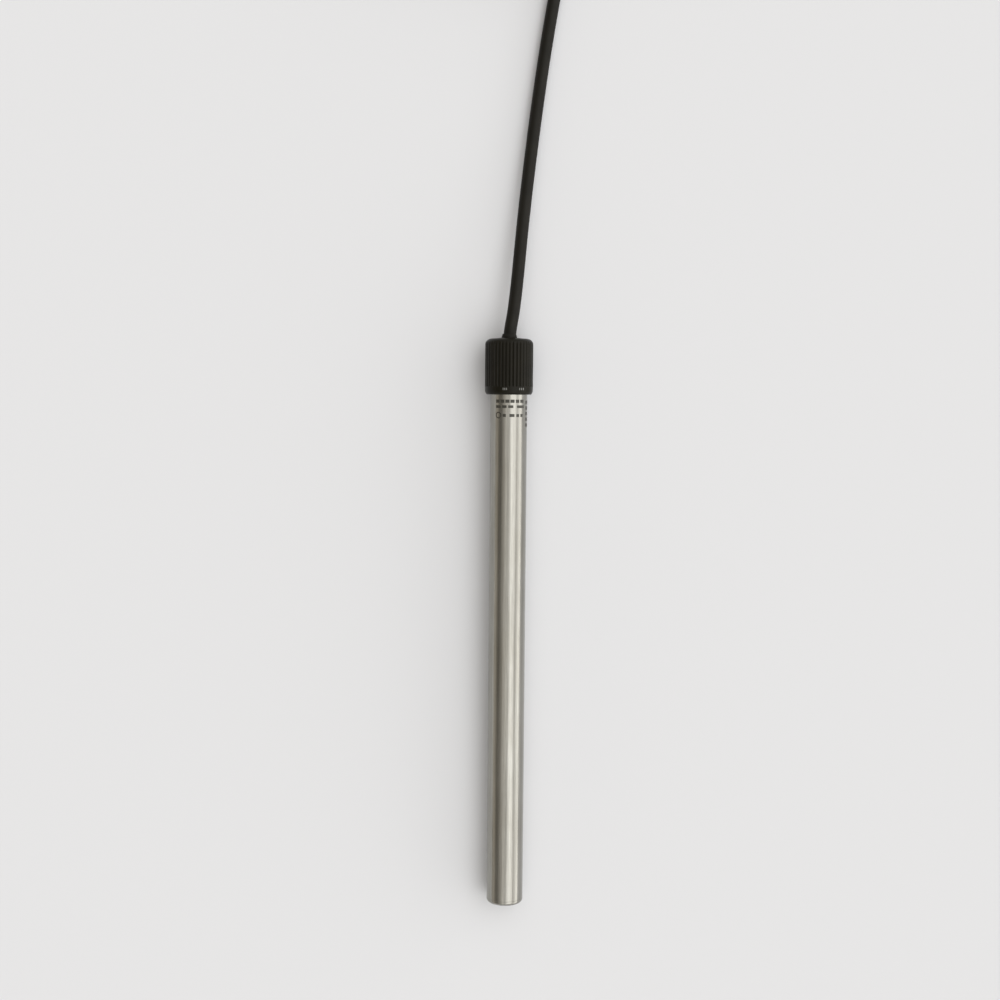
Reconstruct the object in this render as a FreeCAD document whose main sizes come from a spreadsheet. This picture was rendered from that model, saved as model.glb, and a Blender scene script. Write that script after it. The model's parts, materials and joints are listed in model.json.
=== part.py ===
import FreeCAD, Part
import math
import os
import re
import Sketcher

# A submersible titanium-tube heater that lies on a flat surface, in millimetres.
# Pieces of the heater are drawn about their own axis: the station along it counts from the closed tip.
# The row frame has +X from the tip to the cap, +Z up, and its origin under the middle of the heater.

V = FreeCAD.Vector
SIZES = {
    # tube and its welded end
    "tube_radius": 15.0,
    "tube_wall": 1.0,
    "tube_top": 446.2,
    "groove_start": 423.0,
    "groove_width": 2.4,
    "groove_radius": 14.6,
    "tip_length": 4.0,
    "tip_rounding": 3.0,
    "tip_floor": 3.0,
    "spigot_length": 5.0,
    "spigot_wall": 1.6,
    "fit_gap": 0.05,
    # heating cartridge
    "core_radius": 8.0,
    "core_start": 13.8,
    "core_length": 88.0,
    "core_gap": 0.4,
    "core_bore": 1.4,
    "pin_offset": 4.5,
    "pin_radius": 1.2,
    "pin_top": 384.0,
    "live_pin_start": 347.0,
    "return_rod_start": 12.5,
    "ribbon_inner": 8.2,
    "ribbon_thickness": 0.7,
    "ribbon_width": 2.0,
    "ribbon_pitch": 10.0,
    "ribbon_start": 18.0,
    "ribbon_height": 340.0,
    "bridge_width": 2.4,
    "bridge_thickness": 0.3,
    "fill_bore": 9.4,
    "fill_radius": 13.9,
    "spacer_radius": 13.8,
    "lower_spacer_start": 9.4,
    "spacer_thickness": 4.0,
    "upper_spacer_start": 367.8,
    "spacer_bore": 1.6,
    # over-temperature cut-out, its stations count from its own sensing face
    "cutout_station": 396.0,
    "cutout_offset": 5.2,
    "cup_radius": 8.2,
    "cup_wall": 0.45,
    "cup_height": 6.0,
    "disc_radius": 7.2,
    "disc_thickness": 0.3,
    "disc_rim": 0.75,
    "disc_dish": 0.55,
    "guide_start": 2.3,
    "guide_thickness": 1.2,
    "switch_radius": 7.7,
    "switch_bore": 6.6,
    "switch_start": 3.55,
    "switch_floor": 5.0,
    "switch_top": 14.0,
    "plunger_radius": 1.0,
    "plunger_clearance": 0.06,
    "plunger_start": 1.62,
    "plunger_top": 9.27,
    "plunger_tip": 0.2,
    "arm_root": 5.0,
    "arm_reach": 5.0,
    "arm_level": 9.3,
    "arm_thickness": 0.3,
    "arm_width": 3.4,
    "contact_place": 3.9,
    "contact_radius": 1.0,
    "moving_contact_height": 0.7,
    "fixed_contact_height": 0.77,
    "contact_gap": 0.03,
    "shelf_thickness": 0.8,
    "shelf_reach": 2.6,
    "tab_thickness": 0.8,
    "tab_width": 4.0,
    "tab_place": 5.2,
    "tab_top": 22.0,
    "rivet_place": 4.0,
    "rivet_radius": 0.5,
    "rivet_head": 0.9,
    "lid_start": 14.05,
    "lid_thickness": 1.25,
    # wiring
    "wire_radius": 1.3,
    "crimp_radius": 2.0,
    "crimp_bore": 1.35,
    "crimp_start": 377.0,
    "crimp_length": 12.0,
    "lay_radius": 2.5,
    "tag_radius": 13.9,
    "tag_thickness": 0.8,
    "tag_width": 9.0,
    "tag_start": 412.0,
    "tag_length": 15.0,
    "barrel_radius": 1.9,
    "barrel_length": 7.0,
    "barrel_offset": 11.0,
    # cord entry and seals
    "cord_radius": 5.1,
    "sheath_end": 438.0,
    "cord_exit": 461.0,
    "ferrule_start": 439.0,
    "ferrule_length": 5.0,
    "ferrule_radius": 6.2,
    "potting_start": 433.0,
    "potting_top": 446.1,
    "gasket_start": 446.2,
    "gasket_thickness": 0.8,
    # threaded collar on the tube
    "collar_bore": 15.05,
    "collar_foot": 423.4,
    "collar_bead": 14.65,
    "bead_top": 425.2,
    "collar_flange": 17.0,
    "flange_top": 431.0,
    "collar_core": 16.1,
    "collar_top": 450.0,
    "lip_start": 447.0,
    "lip_bore": 5.5,
    "seal_start": 426.5,
    "seal_width": 2.0,
    "seal_floor": 15.95,
    "seal_section": 0.58,
    # the screw thread
    "thread_pitch": 2.5,
    "thread_turns_height": 8.75,
    "thread_start": 433.5,
    "ridge_foot": 1.3,
    "ridge_crest": 0.7,
    "collar_crest": 16.9,
    "cap_crest": 16.35,
    "ridge_root_depth": 0.2,
    # gland inside the cap
    "washer_start": 450.1,
    "washer_thickness": 1.5,
    "washer_radius": 15.7,
    "grommet_start": 451.7,
    "grommet_flange": 14.0,
    "grommet_flange_top": 455.1,
    "grommet_cone_foot": 10.5,
    "grommet_cone_top": 465.6,
    "grommet_neck": 6.35,
    "grommet_top": 471.8,
    "grommet_mouth": 5.5,
    "grommet_lip": 5.95,
    "ring_start": 455.35,
    "ring_thickness": 1.9,
    "ring_bore": 11.2,
    "ring_radius": 16.5,
    # ribbed screw cap
    "cap_foot": 423.0,
    "cap_rim": 2.0,
    "cap_rim_radius": 18.2,
    "cap_radius": 19.6,
    "cap_edge": 468.3,
    "cap_top": 469.0,
    "cap_shoulder": 5.0,
    "skirt_bore": 17.4,
    "skirt_top": 431.8,
    "thread_bore": 17.1,
    "thread_bore_top": 451.6,
    "neck_bore": 16.0,
    "ring_seat_start": 455.1,
    "ring_seat_radius": 16.8,
    "ring_seat_top": 457.5,
    "cap_cone_foot": 10.0,
    "cap_cone_top": 465.9,
    "cap_cone_neck": 7.0,
    "cap_mouth": 6.65,
    "rib_count": 40,
    "rib_foot": 429.5,
    "rib_depth": 0.75,
    "rib_hollow": 0.55,
    "rib_edge": 0.3,
    # cord coil, its tie and the tail to the plug
    "coil_radius": 54.0,
    "tail_radius": 57.0,
    "coil_distance": 381.0,
    "coil_side": 12.0,
    "coil_base": 1.7,
    "tie_thickness": 1.2,
    "tie_gap": 0.5,
    "tie_width": 8.0,
    "tie_corner": 3.0,
    # plug, its stations count from the mouth of its boot
    "plug_distance": 458.7,
    "plug_side": -3.6,
    "plug_heading": 60.0,
    "boot_length": 26.0,
    "boot_mouth": 6.9,
    "boot_end": 8.4,
    "boot_bore_depth": 14.0,
    "boot_rings": 4,
    "boot_ring_depth": 0.9,
    "plug_neck": 9.6,
    "plug_shoulder": 12.4,
    "plug_shoulder_end": 30.0,
    "plug_grip": 13.4,
    "plug_grip_end": 47.0,
    "plug_head": 18.4,
    "plug_head_start": 50.0,
    "plug_face": 60.0,
    "plug_edge": 0.8,
    "plug_flat": 16.4,
    "carrier_radius": 14.4,
    "carrier_thickness": 2.5,
    "plug_pin_radius": 2.4,
    "plug_pin_spacing": 19.0,
    "plug_pin_length": 19.0,
    "plug_pin_root": 48.0,
    "plug_pin_shank": 1.9,
    "plug_pin_point": 1.2,
    "strip_width": 5.0,
    "strip_length": 9.0,
    "strip_thickness": 0.8,
}

doc = FreeCAD.newDocument("AquariumHeater")
sheet = doc.addObject("Spreadsheet::Sheet", "Sizes")
for row, (name, value) in enumerate(SIZES.items(), 1):
    sheet.set(f"A{row}", name)
    sheet.set(f"B{row}", str(value))
    sheet.setAlias(f"B{row}", name)
doc.recompute()
nodes = []


def size(name):
    return float(sheet.get(name))


def bound(text):
    """An expression in which each size is read from the sheet."""
    return re.sub("[a-z][a-z_]+", lambda word: "Sizes." + word.group(), text)


# ---------------------------------------------------------------- where things lie


def lying(tilt, heading, base):
    """The placement of something drawn about +Z that lies down, with its own +X upwards."""
    level = V(math.cos(heading), math.sin(heading), 0)
    along = level * math.cos(tilt) + V(0, 0, math.sin(tilt))
    up = level * -math.sin(tilt) + V(0, 0, math.cos(tilt))
    return FreeCAD.Placement(base, FreeCAD.Rotation(up, along.cross(up), along, "ZXY"))


def resting_tilt():
    """The slope of a heater that rests on the cap's rim and on the tube's rounded tip."""
    span = size("cap_foot") + size("cap_rim") - size("tip_rounding")
    rise = size("cap_radius") - (size("tube_radius") - size("tip_rounding"))
    return math.atan2(rise, span) - math.asin(size("tip_rounding") / math.hypot(span, rise))


TILT = resting_tilt()
ROUNDING = size("tip_rounding")
TIP_HEIGHT = ROUNDING + (size("tube_radius") - ROUNDING) * math.cos(TILT) - ROUNDING * math.sin(TILT)
TIP = V(-0.5 * size("grommet_top") * math.cos(TILT), 0, TIP_HEIGHT)
HEATER = lying(TILT, 0, TIP)
CAP_TOP = HEATER.multVec(V(0, 0, size("cap_top")))


def in_heater(x, y, station):
    return HEATER.multiply(FreeCAD.Placement(V(x, y, station), FreeCAD.Rotation()))


CUTOUT = in_heater(0, size("cutout_offset"), size("cutout_station"))
LAYER = 2 * size("cord_radius")
COIL_CENTRE = V(CAP_TOP.x + size("coil_distance"), size("coil_side"), size("coil_base"))


def plug_slope():
    """The slope of a plug that rests on its boot's mouth and on the foot of its lower earth strip."""
    strip_level = size("plug_flat") + size("fit_gap") + size("strip_thickness")
    return math.atan2(strip_level - size("boot_mouth"), size("plug_face") - size("strip_length"))


PLUG_LEVEL = size("boot_mouth") * math.cos(plug_slope())
PLUG_BASE = V(CAP_TOP.x + size("plug_distance"), size("plug_side"), PLUG_LEVEL)
PLUG = lying(plug_slope(), math.radians(size("plug_heading")), PLUG_BASE)


# ---------------------------------------------------------------- ways of making a piece


def keep(shape_object, label, placement=None):
    """Names a finished sub-part, puts it in its place and lists it for export."""
    shape_object.Label = label
    if placement is not None:
        shape_object.Placement = placement
    nodes.append(shape_object)
    return shape_object


def new_sketch(body, plane, offset="0"):
    sketch = body.newObject("Sketcher::SketchObject", body.Name + "_sketch")
    support = [item for item in body.Origin.OriginFeatures if item.Role == plane]
    sketch.AttachmentSupport = [(support[0], "")]
    sketch.MapMode = "FlatFace"
    if offset != "0":
        sketch.setExpression("AttachmentOffset.Base.z", bound(offset))
    return sketch


def hold(sketch, element, point, across, along):
    """Ties a point of a sketch to two expressions."""
    name = f"point_{element}_"
    for kind, text, axis in (("DistanceX", across, -2), ("DistanceY", along, -1)):
        if text == "0":
            sketch.addConstraint(Sketcher.Constraint("PointOnObject", element, point, axis))
        else:
            place = sketch.addConstraint(Sketcher.Constraint(kind, -1, 1, element, point, 10.0))
            sketch.renameConstraint(place, name + kind)
            sketch.setExpression("Constraints." + name + kind, bound(text))


def draw_outline(sketch, points):
    """A closed outline of straight lines, every corner of which is bound to the sheet."""
    first = sketch.GeometryCount
    count = len(points)
    turns = [2 * math.pi * step / count for step in range(count + 1)]
    rough = [V(20 + 10 * math.cos(turn), 400 + 10 * math.sin(turn), 0) for turn in turns]
    for step in range(count):
        sketch.addGeometry(Part.LineSegment(rough[step], rough[step + 1]), False)
    for step in range(count):
        after = first + (step + 1) % count
        sketch.addConstraint(Sketcher.Constraint("Coincident", first + step, 2, after, 1))
    for step, (across, along) in enumerate(points):
        hold(sketch, first + step, 1, across, along)


def draw_circle(sketch, across, along, radius):
    element = sketch.addGeometry(Part.Circle(V(1, 1, 0), V(0, 0, 1), 1.0), False)
    place = sketch.addConstraint(Sketcher.Constraint("Radius", element, 1.0))
    sketch.renameConstraint(place, f"radius_{element}")
    sketch.setExpression(f"Constraints.radius_{element}", bound(radius))
    hold(sketch, element, 3, across, along)


def turned_body(label, points):
    """A body turned about its axis from an outline of (radius, station)."""
    body = doc.addObject("PartDesign::Body", label)
    sketch = new_sketch(body, "XZ_Plane")
    draw_outline(sketch, points)
    turning = body.newObject("PartDesign::Revolution", label + "_turned")
    turning.Profile = (sketch, [""])
    turning.ReferenceAxis = (sketch, ["V_Axis"])
    turning.Angle = 360
    doc.recompute()
    return body


def turned(label, points, placement=HEATER):
    return keep(turned_body(label, points), label, placement)


def padded(label, start, length, circles, placement=HEATER):
    """A straight extrusion of a round outline with round holes: each circle is (x, y, radius)."""
    body = doc.addObject("PartDesign::Body", label)
    sketch = new_sketch(body, "XY_Plane", start)
    for across, along, radius in circles:
        draw_circle(sketch, across, along, radius)
    pad = body.newObject("PartDesign::Pad", label + "_pad")
    pad.Profile = (sketch, [""])
    pad.setExpression("Length", bound(length))
    return keep(body, label, placement)


def rounded(body, radius, circle_radius, station):
    """Rounds the circular edge of that radius at that station of a body."""
    base = body.Tip
    names = [
        f"Edge{number}"
        for number, edge in enumerate(base.Shape.Edges, 1)
        if isinstance(edge.Curve, Part.Circle)
        and abs(edge.Curve.Radius - circle_radius) < 0.001
        and abs(edge.Curve.Center.z - station) < 0.001
    ]
    fillet = body.newObject("PartDesign::Fillet", body.Name + "_rounding")
    fillet.Base = (base, names)
    fillet.setExpression("Radius", bound(radius))
    body.Tip = fillet
    doc.recompute()


def ridge(body, side_radius, crest_radius, station):
    """A screw ridge, wound on the body from that station, with its root sunk into the wall."""
    inwards = "-" if crest_radius == "cap_crest" else "+"
    root = f"{side_radius} {'+' if inwards == '-' else '-'} ridge_root_depth"
    sketch = new_sketch(body, "XZ_Plane")
    draw_outline(
        sketch,
        [
            (root, f"{station} - ridge_foot / 2"),
            (crest_radius, f"{station} - ridge_crest / 2"),
            (crest_radius, f"{station} + ridge_crest / 2"),
            (root, f"{station} + ridge_foot / 2"),
        ],
    )
    doc.recompute()
    thread = body.newObject("PartDesign::AdditiveHelix", body.Name + "_thread")
    thread.Profile = (sketch, [""])
    thread.ReferenceAxis = (sketch, ["V_Axis"])
    thread.Mode = 0
    thread.setExpression("Pitch", bound("thread_pitch"))
    thread.setExpression("Height", bound("thread_turns_height"))
    body.Tip = thread
    doc.recompute()


def block(name, corner, extent):
    """A box from expressions: its low corner and its three edges."""
    box = doc.addObject("Part::Box", name)
    for property_name, text in zip(("Length", "Width", "Height"), extent, strict=True):
        box.setExpression(property_name, bound(text))
    for axis, text in zip("xyz", corner, strict=True):
        box.setExpression("Placement.Base." + axis, bound(text))
    return box


def joined(label, parts, placement):
    fuse = doc.addObject("Part::MultiFuse", label)
    fuse.Shapes = parts
    doc.recompute()
    return keep(fuse, label, placement)


def corner_arc(before, corner, after):
    """The arc that rounds a corner of a route, as large as its two runs allow."""
    inward = (corner - before).normalize()
    outward = (after - corner).normalize()
    half_turn = inward.getAngle(outward) / 2
    reach = 0.45 * min((corner - before).Length, (after - corner).Length)
    radius = reach / math.tan(half_turn)
    start = corner - inward * reach
    end = corner + outward * reach
    bisector = (outward - inward).normalize()
    middle = corner + bisector * (radius / math.cos(half_turn) - radius)
    return start, middle, end, radius


def routed(label, points, radius):
    """A round wire or cord along straight runs joined by tangent arcs."""
    edges = []
    radii = []
    place = points[0]
    for before, corner, after in zip(points, points[1:], points[2:], strict=False):
        start, middle, end, bend = corner_arc(before, corner, after)
        edges.append(Part.LineSegment(place, start).toShape())
        edges.append(Part.Arc(start, middle, end).toShape())
        radii.append(bend)
        place = end
    edges.append(Part.LineSegment(place, points[-1]).toShape())
    path = Part.Wire(edges)
    section = Part.Wire([Part.Circle(points[0], points[1] - points[0], radius).toShape()])
    piece = doc.addObject("Part::Feature", label)
    piece.Shape = path.makePipeShell([section], True, False)
    expected = math.pi * radius**2 * path.Length
    print(f"{label}: length {path.Length:.1f}, radii {[round(bend, 1) for bend in radii]}")
    print(f"{label}: volume {piece.Shape.Volume:.0f}, section times length {expected:.0f}")
    return keep(piece, label)


def wire(label, points):
    return routed(label, [HEATER.multVec(V(*point)) for point in points], size("wire_radius"))


# ---------------------------------------------------------------- tube and heating cartridge


def make_tube():
    plug = turned_body(
        "tube_end_plug",
        [
            ("0", "0"),
            ("tube_radius", "0"),
            ("tube_radius", "tip_length"),
            ("tube_radius - tube_wall - fit_gap", "tip_length"),
            ("tube_radius - tube_wall - fit_gap", "tip_length + spigot_length"),
            ("tube_radius - tube_wall - spigot_wall", "tip_length + spigot_length"),
            ("tube_radius - tube_wall - spigot_wall", "tip_floor"),
            ("0", "tip_floor"),
        ],
    )
    rounded(plug, "tip_rounding", size("tube_radius"), 0)
    keep(plug, "tube_end_plug", HEATER)
    turned(
        "titanium_tube",
        [
            ("tube_radius - tube_wall", "tip_length"),
            ("tube_radius", "tip_length"),
            ("tube_radius", "groove_start"),
            ("groove_radius", "groove_start"),
            ("groove_radius", "groove_start + groove_width"),
            ("tube_radius", "groove_start + groove_width"),
            ("tube_radius", "tube_top"),
            ("tube_radius - tube_wall", "tube_top"),
        ],
    )


def make_cores():
    """Four ceramic core segments, each with a bore for either conductor."""
    for number in range(4):
        padded(
            f"ceramic_core_{number + 1}",
            f"core_start + {number} * (core_length + core_gap)",
            "core_length",
            [
                ("0", "0", "core_radius"),
                ("pin_offset", "0", "core_bore"),
                ("-pin_offset", "0", "core_bore"),
            ],
        )


def make_winding():
    body = doc.addObject("PartDesign::Body", "heating_winding")
    sketch = new_sketch(body, "XZ_Plane")
    outer = "ribbon_inner + ribbon_thickness"
    draw_outline(
        sketch,
        [
            ("ribbon_inner", "ribbon_start"),
            (outer, "ribbon_start"),
            (outer, "ribbon_start + ribbon_width"),
            ("ribbon_inner", "ribbon_start + ribbon_width"),
        ],
    )
    doc.recompute()
    winding = body.newObject("PartDesign::AdditiveHelix", "heating_winding_turns")
    winding.Profile = (sketch, [""])
    winding.ReferenceAxis = (sketch, ["V_Axis"])
    winding.Mode = 0
    winding.setExpression("Pitch", bound("ribbon_pitch"))
    winding.setExpression("Height", bound("ribbon_height"))
    keep(body, "heating_winding", HEATER)


def make_conductors():
    live = [("pin_offset", "0", "pin_radius")]
    back = [("-pin_offset", "0", "pin_radius")]
    padded("live_terminal_pin", "live_pin_start", "pin_top - live_pin_start", live)
    padded("neutral_return_rod", "return_rod_start", "pin_top - return_rod_start", back)
    make_bridge(
        "lower_winding_bridge",
        "-pin_offset + pin_radius",
        "core_start - fit_gap - bridge_thickness",
        "core_start - fit_gap - bridge_thickness",
        "ribbon_start + ribbon_width",
    )
    make_bridge(
        "upper_winding_bridge",
        "pin_offset + pin_radius",
        "core_start + 4 * core_length + 3 * core_gap + fit_gap",
        "ribbon_start + ribbon_height",
        "core_start + 4 * core_length + 3 * core_gap + fit_gap + bridge_thickness",
    )


def make_bridge(label, root, level, leg_foot, leg_top):
    """A strip from a conductor across the end of the core, with a leg along it to the winding."""
    leg_inside = "ribbon_inner + ribbon_thickness + fit_gap"
    half = "-bridge_width / 2"
    strip = block(
        label + "_strip",
        (root, half, level),
        (f"{leg_inside} + bridge_thickness - ({root})", "bridge_width", "bridge_thickness"),
    )
    leg = block(
        label + "_leg",
        (leg_inside, half, leg_foot),
        ("bridge_thickness", "bridge_width", f"{leg_top} - ({leg_foot})"),
    )
    joined(label, [strip, leg], HEATER)


def make_insulation():
    padded(
        "magnesia_fill",
        "core_start",
        "upper_spacer_start - core_start - core_gap",
        [("0", "0", "fill_radius"), ("0", "0", "fill_bore")],
    )
    padded(
        "lower_ceramic_spacer",
        "lower_spacer_start",
        "spacer_thickness",
        [("0", "0", "spacer_radius"), ("-pin_offset", "0", "spacer_bore")],
    )
    padded(
        "upper_ceramic_spacer",
        "upper_spacer_start",
        "spacer_thickness",
        [
            ("0", "0", "spacer_radius"),
            ("pin_offset", "0", "spacer_bore"),
            ("-pin_offset", "0", "spacer_bore"),
        ],
    )


# ---------------------------------------------------------------- over-temperature cut-out


def make_cutout_case():
    turned(
        "cutout_sensing_cup",
        [
            ("0", "0"),
            ("cup_radius", "0"),
            ("cup_radius", "cup_height"),
            ("cup_radius - cup_wall", "cup_height"),
            ("cup_radius - cup_wall", "cup_wall"),
            ("0", "cup_wall"),
        ],
        CUTOUT,
    )
    padded(
        "cutout_guide_plate",
        "guide_start",
        "guide_thickness",
        [("0", "0", "switch_radius"), ("0", "0", "plunger_radius + plunger_clearance")],
        CUTOUT,
    )
    turned(
        "cutout_switch_base",
        [
            ("plunger_radius + 3 * plunger_clearance", "switch_start"),
            ("switch_radius", "switch_start"),
            ("switch_radius", "switch_top"),
            ("switch_bore", "switch_top"),
            ("switch_bore", "switch_floor"),
            ("plunger_radius + 3 * plunger_clearance", "switch_floor"),
        ],
        CUTOUT,
    )
    lid = doc.addObject("Part::Cylinder", "lid_disc")
    lid.setExpression("Radius", bound("switch_radius"))
    lid.setExpression("Height", bound("lid_thickness"))
    lid.setExpression("Placement.Base.z", bound("lid_start"))
    slots = [
        block(
            f"lid_slot_{number}",
            (across, "-tab_width / 2 - 2 * fit_gap", "lid_start - 1"),
            ("tab_thickness + 2 * fit_gap", "tab_width + 4 * fit_gap", "lid_thickness + 2"),
        )
        for number, across in enumerate(("tab_place - fit_gap", "-tab_place - tab_thickness - fit_gap"))
    ]
    both = doc.addObject("Part::MultiFuse", "lid_slots")
    both.Shapes = slots
    cut = doc.addObject("Part::Cut", "cutout_lid")
    cut.Base = lid
    cut.Tool = both
    doc.recompute()
    keep(cut, "cutout_lid", CUTOUT)


def make_plunger():
    disc = [
        ("0", "disc_rim + disc_dish"),
        ("disc_radius", "disc_rim"),
        ("disc_radius", "disc_rim + disc_thickness"),
        ("0", "disc_rim + disc_dish + disc_thickness"),
    ]
    turned("bimetal_disc", disc, CUTOUT)
    turned(
        "transfer_pin",
        [
            ("0", "plunger_start"),
            ("plunger_radius", "plunger_start"),
            ("plunger_radius", "plunger_top - plunger_radius + plunger_tip"),
            ("plunger_tip", "plunger_top"),
            ("0", "plunger_top"),
        ],
        CUTOUT,
    )


def make_terminals():
    """Line terminal under the arm's root and load terminal under the fixed contact."""
    load_shelf = "arm_level - moving_contact_height - contact_gap - fixed_contact_height - shelf_thickness"
    shelves = {
        "cutout_line_terminal": (
            "-tab_place - tab_thickness",
            "-tab_place - tab_thickness",
            "arm_level - 2 * fit_gap - shelf_thickness",
        ),
        "cutout_load_terminal": ("tab_place", "tab_place + tab_thickness - shelf_reach", load_shelf),
    }
    for label, (tab_across, shelf_across, level) in shelves.items():
        tab = block(
            label + "_tab",
            (tab_across, "-tab_width / 2", "switch_floor + fit_gap"),
            ("tab_thickness", "tab_width", "tab_top - switch_floor - fit_gap"),
        )
        shelf = block(
            label + "_shelf",
            (shelf_across, "-tab_width / 2", level),
            ("shelf_reach", "tab_width", "shelf_thickness"),
        )
        joined(label, [tab, shelf], CUTOUT)


def make_contacts():
    root_hole = ("-rivet_place", "0", "rivet_radius + 6 * fit_gap")
    body = doc.addObject("PartDesign::Body", "contact_arm")
    sketch = new_sketch(body, "XY_Plane", "arm_level")
    draw_outline(
        sketch,
        [
            ("-arm_root + arm_thickness / 2", "-arm_width / 2"),
            ("arm_reach", "-arm_width / 2"),
            ("arm_reach", "arm_width / 2"),
            ("-arm_root + arm_thickness / 2", "arm_width / 2"),
        ],
    )
    draw_circle(sketch, *root_hole)
    pad = body.newObject("PartDesign::Pad", "contact_arm_pad")
    pad.Profile = (sketch, [""])
    pad.setExpression("Length", bound("arm_thickness"))
    doc.recompute()
    sketch = new_sketch(body, "XZ_Plane")
    half = "arm_thickness / 2"
    draw_circle(sketch, f"-arm_root + {half}", f"arm_level + {half}", half)
    root = body.newObject("PartDesign::Pad", "contact_arm_root")
    root.Profile = (sketch, [""])
    root.Midplane = True
    root.setExpression("Length", bound("arm_width"))
    body.Tip = root
    keep(body, "contact_arm", CUTOUT)
    face = ("contact_place", "0", "contact_radius")
    height = "moving_contact_height"
    padded("moving_contact", f"arm_level - {height}", height, [face], CUTOUT)
    start = f"arm_level - {height} - contact_gap - fixed_contact_height"
    padded("fixed_contact", start, "fixed_contact_height", [face], CUTOUT)
    shank = padded(
        "arm_rivet",
        "arm_level - 2 * fit_gap",
        "arm_thickness + 6 * fit_gap",
        [("-rivet_place", "0", "rivet_radius")],
        CUTOUT,
    )
    doc.recompute()
    sketch = new_sketch(shank, "XY_Plane", "arm_level + arm_thickness + 4 * fit_gap")
    draw_circle(sketch, "-rivet_place", "0", "rivet_head")
    head = shank.newObject("PartDesign::Pad", "arm_rivet_head")
    head.Profile = (sketch, [""])
    head.setExpression("Length", bound("rivet_radius"))


# ---------------------------------------------------------------- wiring


def lay_place(degrees):
    """Where a core leaves the sheath, by its angle about the cord."""
    angle = math.radians(degrees)
    return size("lay_radius") * math.cos(angle), size("lay_radius") * math.sin(angle)


def make_wiring():
    sheath = size("sheath_end")
    offset = size("pin_offset")
    tab = size("tab_place") + size("tab_thickness") / 2
    beside_tab = size("cutout_offset") - size("tab_width") / 2 - size("wire_radius") - size("fit_gap")
    into_crimp = size("pin_top") + 0.5
    over_crimp = size("crimp_start") + size("crimp_length") + 4.0
    live_x, live_y = lay_place(90)
    neutral_x, neutral_y = lay_place(210)
    earth_x, earth_y = lay_place(330)
    wire(
        "live_link_wire",
        [
            (offset, 0, into_crimp),
            (offset, 0, over_crimp),
            (7.0, -7.2, 399.5),
            (7.0, -6.2, 409),
            (tab, beside_tab, 414.5),
            (tab, beside_tab, 419),
        ],
    )
    wire(
        "live_core",
        [
            (live_x, live_y, sheath),
            (live_x, live_y, 430),
            (-tab, beside_tab, 421),
            (-tab, beside_tab, 412.5),
        ],
    )
    wire(
        "neutral_core",
        [
            (neutral_x, neutral_y, sheath),
            (neutral_x, neutral_y, 430),
            (-7.0, -6.2, 416),
            (-7.0, -7.2, 399.5),
            (-offset, 0, over_crimp),
            (-offset, 0, into_crimp),
        ],
    )
    wire(
        "earth_core",
        [
            (earth_x, earth_y, sheath),
            (earth_x, earth_y, 430),
            (0, -size("barrel_offset"), 424),
            (0, -size("barrel_offset"), size("tag_start") + 1),
        ],
    )
    for label, side in (("live_crimp", ""), ("neutral_crimp", "-")):
        across = side + "pin_offset"
        padded(
            label,
            "crimp_start",
            "crimp_length",
            [(across, "0", "crimp_radius"), (across, "0", "crimp_bore")],
        )


def make_earth_tag():
    """A curved tag welded inside the tube, with a barrel that is crimped on the earth core."""
    ring_outer = doc.addObject("Part::Cylinder", "tag_outer")
    ring_outer.setExpression("Radius", bound("tag_radius"))
    ring_inner = doc.addObject("Part::Cylinder", "tag_inner")
    ring_inner.setExpression("Radius", bound("tag_radius - tag_thickness"))
    for cylinder in (ring_outer, ring_inner):
        cylinder.setExpression("Height", bound("tag_length"))
        cylinder.setExpression("Placement.Base.z", bound("tag_start"))
    shell = doc.addObject("Part::Cut", "tag_shell")
    shell.Base = ring_outer
    shell.Tool = ring_inner
    window = block(
        "tag_window",
        ("-tag_width / 2", "-tag_radius", "tag_start"),
        ("tag_width", "tag_radius / 2", "tag_length"),
    )
    sector = doc.addObject("Part::Common", "earth_tag")
    sector.Base = shell
    sector.Tool = window
    doc.recompute()
    keep(sector, "earth_tag", HEATER)
    padded(
        "earth_crimp_barrel",
        "tag_start",
        "barrel_length",
        [("0", "-barrel_offset", "barrel_radius"), ("0", "-barrel_offset", "wire_radius + fit_gap")],
    )


# ---------------------------------------------------------------- head, gland and screw cap


def make_cord_entry():
    padded("cord_entry", "sheath_end", "cord_exit - sheath_end", [("0", "0", "cord_radius")])
    padded(
        "strain_relief_ferrule",
        "ferrule_start",
        "ferrule_length",
        [("0", "0", "ferrule_radius"), ("0", "0", "cord_radius + fit_gap")],
    )
    potting = turned_body(
        "silicone_potting",
        [
            ("0", "potting_start"),
            ("tube_radius - tube_wall - fit_gap", "potting_start"),
            ("tube_radius - tube_wall - fit_gap", "potting_top"),
            ("ferrule_radius + fit_gap", "potting_top"),
            ("ferrule_radius + fit_gap", "sheath_end - fit_gap"),
            ("0", "sheath_end - fit_gap"),
        ],
    )
    sketch = new_sketch(potting, "XY_Plane", "potting_start - 1")
    aside = f"lay_radius * {math.cos(math.radians(30)):.6f}"
    for across, along in (("0", "lay_radius"), (aside, "-lay_radius / 2"), ("-" + aside, "-lay_radius / 2")):
        draw_circle(sketch, across, along, "wire_radius + fit_gap")
    holes = potting.newObject("PartDesign::Pocket", "core_holes")
    holes.Profile = (sketch, [""])
    holes.Reversed = True
    holes.setExpression("Length", bound("sheath_end - potting_start + 2"))
    potting.Tip = holes
    keep(potting, "silicone_potting", HEATER)


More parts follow.
